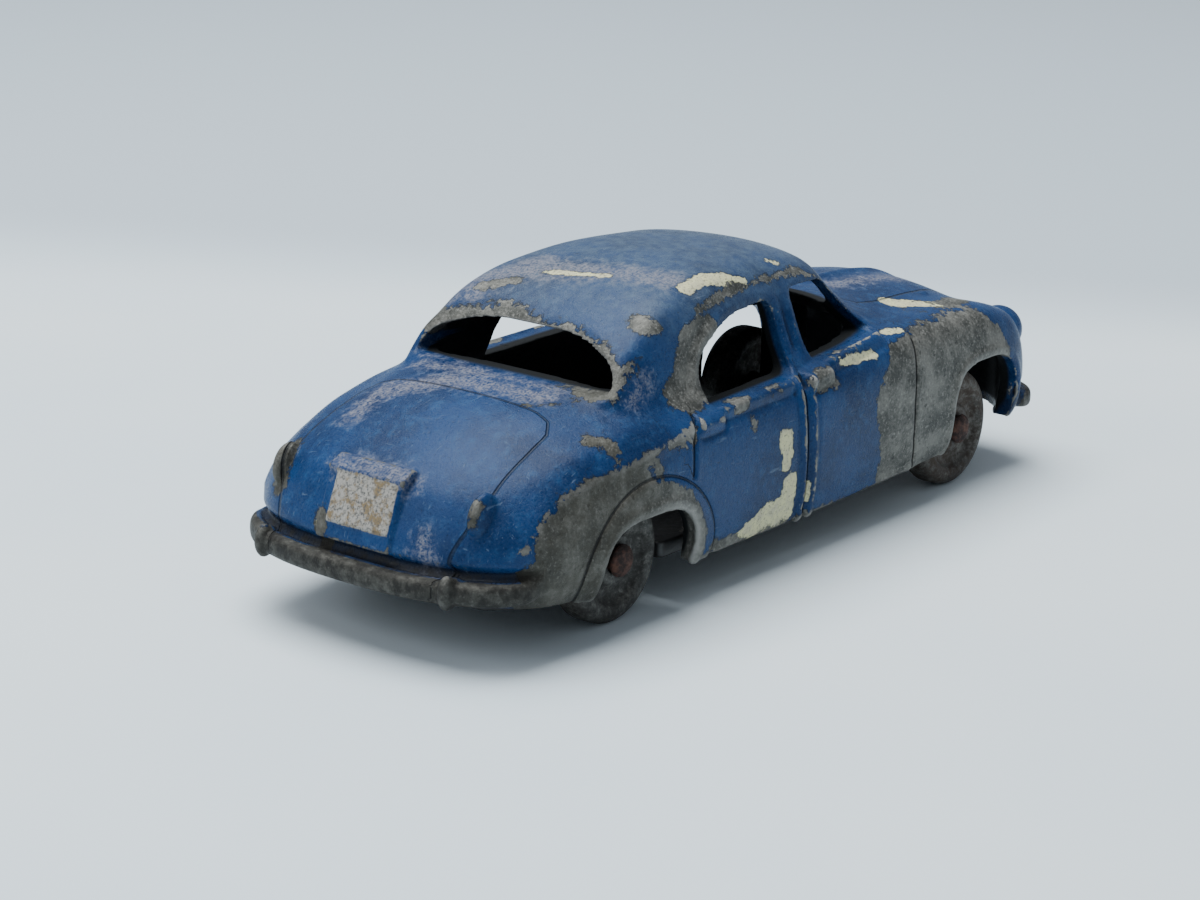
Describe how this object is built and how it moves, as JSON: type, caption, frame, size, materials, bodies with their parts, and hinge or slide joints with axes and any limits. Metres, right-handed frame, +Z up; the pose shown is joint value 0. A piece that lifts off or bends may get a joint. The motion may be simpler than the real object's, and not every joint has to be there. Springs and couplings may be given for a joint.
{
  "type": "diecast toy car",
  "caption": "Pocket-size diecast saloon: hollow cast body with open windows, riveted base plate, and cast wheels free to turn on headed steel axles.",
  "frame": {"origin": "on the ground under the middle of the car, half-way along its length over the bumpers", "axes": "+X towards the front of the car, +Y to its left, +Z up; the wheels turn about Y"},
  "size_m": [0.065, 0.0232, 0.0201],
  "materials": {
    "painted_body": "worn metallic blue enamel over a cream undercoat, chipped to bare grey zinc",
    "base_plate": "worn black enamel on pressed sheet",
    "rivet": "spun-over dull zinc",
    "rusty_steel": "red-brown rust on steel wire",
    "cast_wheel": "rough grey zinc casting with ground-in dirt"
  },
  "bodies": {
    "chassis": {"body_shell": "painted_body", "base_plate": "base_plate", "rear_rivet": "rivet", "front_rivet": "rivet"},
    "rear_axle": {"rear_axle": "rusty_steel"},
    "front_axle": {"front_axle": "rusty_steel"},
    "rear_left_wheel": {"rear_left_wheel": "cast_wheel"},
    "rear_right_wheel": {"rear_right_wheel": "cast_wheel"},
    "front_left_wheel": {"front_left_wheel": "cast_wheel"},
    "front_right_wheel": {"front_right_wheel": "cast_wheel"}
  },
  "joints": [
    {"name": "rear_axle_spin", "type": "hinge", "parent": "chassis", "child": "rear_axle", "pos_m": [-0.01785, 0, 0.0042], "axis": [0, 1, 0], "continuous": true},
    {"name": "front_axle_spin", "type": "hinge", "parent": "chassis", "child": "front_axle", "pos_m": [0.02135, 0, 0.0042], "axis": [0, 1, 0], "continuous": true},
    {"name": "rear_left_wheel_spin", "type": "hinge", "parent": "rear_axle", "child": "rear_left_wheel", "pos_m": [-0.01785, 0.00855, 0.0042], "axis": [0, 1, 0], "continuous": true},
    {"name": "rear_right_wheel_spin", "type": "hinge", "parent": "rear_axle", "child": "rear_right_wheel", "pos_m": [-0.01785, -0.00855, 0.0042], "axis": [0, 1, 0], "continuous": true},
    {"name": "front_left_wheel_spin", "type": "hinge", "parent": "front_axle", "child": "front_left_wheel", "pos_m": [0.02135, 0.00885, 0.0042], "axis": [0, 1, 0], "continuous": true},
    {"name": "front_right_wheel_spin", "type": "hinge", "parent": "front_axle", "child": "front_right_wheel", "pos_m": [0.02135, -0.00885, 0.0042], "axis": [0, 1, 0], "continuous": true}
  ]
}
